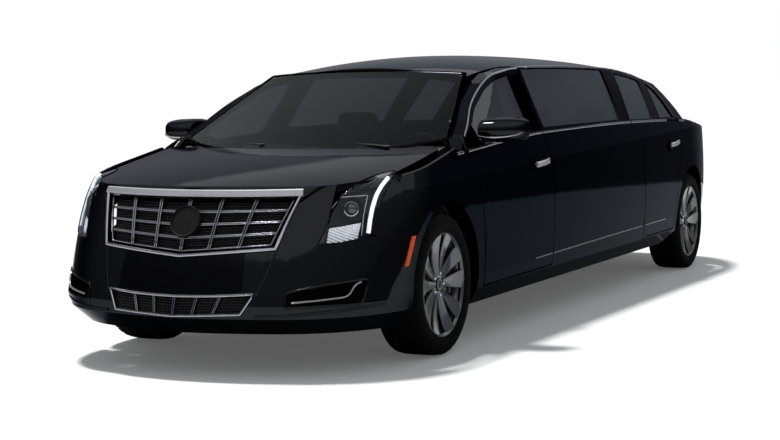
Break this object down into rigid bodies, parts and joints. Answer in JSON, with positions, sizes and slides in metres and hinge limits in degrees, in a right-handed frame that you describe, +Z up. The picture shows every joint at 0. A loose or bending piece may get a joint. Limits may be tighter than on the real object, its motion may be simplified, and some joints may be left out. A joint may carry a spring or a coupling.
{
  "type": "stretch limousine",
  "caption": "Black stretched four-door saloon with hinged doors, bonnet and boot lid, steered front wheels and a long window between the doors.",
  "frame": {"origin": "on the ground under the middle of the car, centred on its overall length and width", "axes": "+X towards the front of the car, +Y to the car's left, +Z up"},
  "size_m": [6.9122, 2.15, 1.5404],
  "materials": {
    "black_paint": "gloss",
    "chrome": "polished",
    "lamp_lens": "gloss",
    "red_lens": "gloss",
    "tinted_glass": "gloss",
    "black_plastic": "satin",
    "steering_trim": "satin",
    "seat_leather": "satin",
    "chassis_steel": "satin",
    "cast_metal": "satin",
    "exhaust_steel": "brushed",
    "tyre_rubber": "matte",
    "rim_alloy": "satin"
  },
  "bodies": {
    "body": {"cowl_panel": "black_plastic", "dashboard": "black_plastic", "engine": "cast_metal", "exhaust": "exhaust_steel", "floor_pan": "chassis_steel", "front_bumper": "black_paint", "front_fenders": "black_paint", "front_seats": "seat_leather", "front_suspension": "chassis_steel", "grille": "chrome", "headlights": "lamp_lens", "lower_grille": "chrome", "rear_axle": "chassis_steel", "rear_bumper": "black_paint", "rear_seats": "seat_leather", "rear_shelf": "black_plastic", "rear_window": "tinted_glass", "roof_panel": "black_paint", "side_panel_left": "black_paint", "side_panel_right": "black_paint", "side_windows": "tinted_glass", "steering_wheel": "steering_trim", "tail_lamps": "red_lens", "windscreen": "tinted_glass"},
    "hood": {"hood": "black_paint"},
    "trunk_lid": {"trunk_lid": "black_paint"},
    "front_door_left": {"front_door_left": "black_paint", "front_door_glass_left": "tinted_glass", "door_mirror_left": "black_paint"},
    "rear_door_left": {"rear_door_left": "black_paint", "rear_door_glass_left": "tinted_glass"},
    "knuckle_left": {"knuckle_left": "cast_metal"},
    "front_wheel_left": {"front_rim_left": "rim_alloy", "front_tyre_left": "tyre_rubber"},
    "rear_wheel_left": {"rear_rim_left": "rim_alloy", "rear_tyre_left": "tyre_rubber"},
    "front_door_right": {"front_door_right": "black_paint", "front_door_glass_right": "tinted_glass", "door_mirror_right": "black_paint"},
    "rear_door_right": {"rear_door_right": "black_paint", "rear_door_glass_right": "tinted_glass"},
    "knuckle_right": {"knuckle_right": "cast_metal"},
    "front_wheel_right": {"front_rim_right": "rim_alloy", "front_tyre_right": "tyre_rubber"},
    "rear_wheel_right": {"rear_rim_right": "rim_alloy", "rear_tyre_right": "tyre_rubber"}
  },
  "joints": [
    {"name": "steer_left", "type": "hinge", "parent": "body", "child": "knuckle_left", "pos_m": [2.3745, 0.735, 0.3515], "axis": [0, 0, 1], "range_deg": [-33, 33]},
    {"name": "front_wheel_spin_left", "type": "hinge", "parent": "knuckle_left", "child": "front_wheel_left", "pos_m": [2.3745, 0.788, 0.3515], "axis": [0, 1, 0], "continuous": true},
    {"name": "rear_wheel_spin_left", "type": "hinge", "parent": "body", "child": "rear_wheel_left", "pos_m": [-2.2405, 0.788, 0.3515], "axis": [0, 1, 0], "continuous": true},
    {"name": "front_door_left_hinge", "type": "hinge", "parent": "body", "child": "front_door_left", "pos_m": [1.8605, 0.897, 0.43], "axis": [0, -0.1045, 0.9945], "range_deg": [-60, 0]},
    {"name": "rear_door_left_hinge", "type": "hinge", "parent": "body", "child": "rear_door_left", "pos_m": [-1.0395, 0.897, 0.43], "axis": [0, -0.1045, 0.9945], "range_deg": [-60, 0]},
    {"name": "steer_right", "type": "hinge", "parent": "body", "child": "knuckle_right", "pos_m": [2.3745, -0.735, 0.3515], "axis": [0, 0, 1], "range_deg": [-33, 33]},
    {"name": "front_wheel_spin_right", "type": "hinge", "parent": "knuckle_right", "child": "front_wheel_right", "pos_m": [2.3745, -0.788, 0.3515], "axis": [0, 1, 0], "continuous": true},
    {"name": "rear_wheel_spin_right", "type": "hinge", "parent": "body", "child": "rear_wheel_right", "pos_m": [-2.2405, -0.788, 0.3515], "axis": [0, 1, 0], "continuous": true},
    {"name": "front_door_right_hinge", "type": "hinge", "parent": "body", "child": "front_door_right", "pos_m": [1.8605, -0.897, 0.43], "axis": [0, 0.1045, 0.9945], "range_deg": [0, 60]},
    {"name": "rear_door_right_hinge", "type": "hinge", "parent": "body", "child": "rear_door_right", "pos_m": [-1.0395, -0.897, 0.43], "axis": [0, 0.1045, 0.9945], "range_deg": [0, 60]},
    {"name": "hood_hinge", "type": "hinge", "parent": "body", "child": "hood", "pos_m": [2.1125, 0, 1], "axis": [0, -1, 0], "range_deg": [0, 45]},
    {"name": "trunk_lid_hinge", "type": "hinge", "parent": "body", "child": "trunk_lid", "pos_m": [-2.5855, 0, 1.06], "axis": [0, 1, 0], "range_deg": [0, 65]}
  ],
  "couplings": [
    {"joint": "steer_right", "follows": "steer_left", "ratio": 1}
  ]
}
